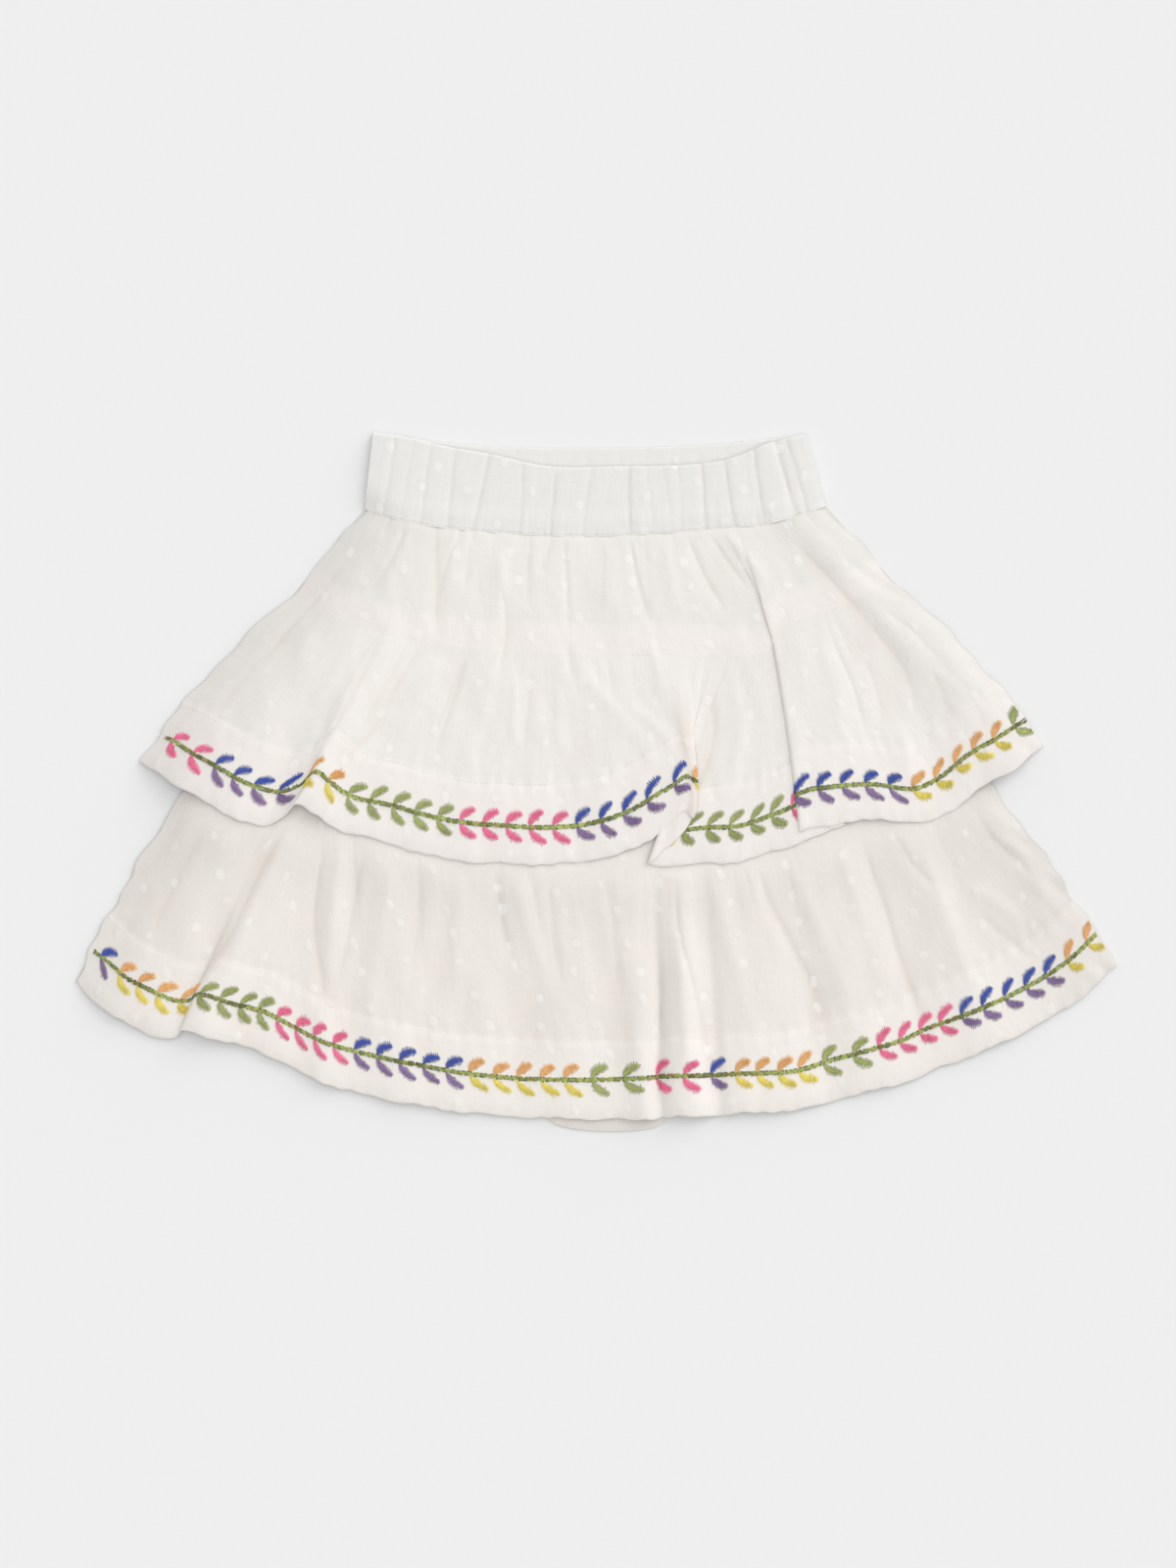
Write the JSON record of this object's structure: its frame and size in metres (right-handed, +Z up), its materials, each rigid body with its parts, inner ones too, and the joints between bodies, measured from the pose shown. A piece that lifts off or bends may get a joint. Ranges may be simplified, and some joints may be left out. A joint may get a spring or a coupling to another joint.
{
  "type": "skort",
  "caption": "Child's tiered cotton skort laid flat: gathered elastic waistband, yoke, two ruffled tiers with embroidered hem bands, and hidden inner shorts.",
  "frame": {"origin": "on the surface the skort lies on, under the middle of its outline", "axes": "+X across the skort to the right seen from above, +Y from the hem towards the waist, +Z up from the surface"},
  "size_m": [0.532, 0.3566, 0.0205],
  "materials": {
    "cotton_dobby": "matte",
    "cotton_plain": "matte"
  },
  "bodies": {
    "root": {"waistband_front": "cotton_dobby", "waistband_back": "cotton_dobby", "yoke_front": "cotton_dobby", "yoke_back": "cotton_dobby", "upper_tier_front": "cotton_dobby", "upper_tier_back": "cotton_dobby", "carrier_front": "cotton_plain", "carrier_back": "cotton_plain", "lower_tier_front": "cotton_dobby", "lower_tier_back": "cotton_dobby", "shorts_front": "cotton_plain", "shorts_back": "cotton_plain"}
  },
  "joints": []
}
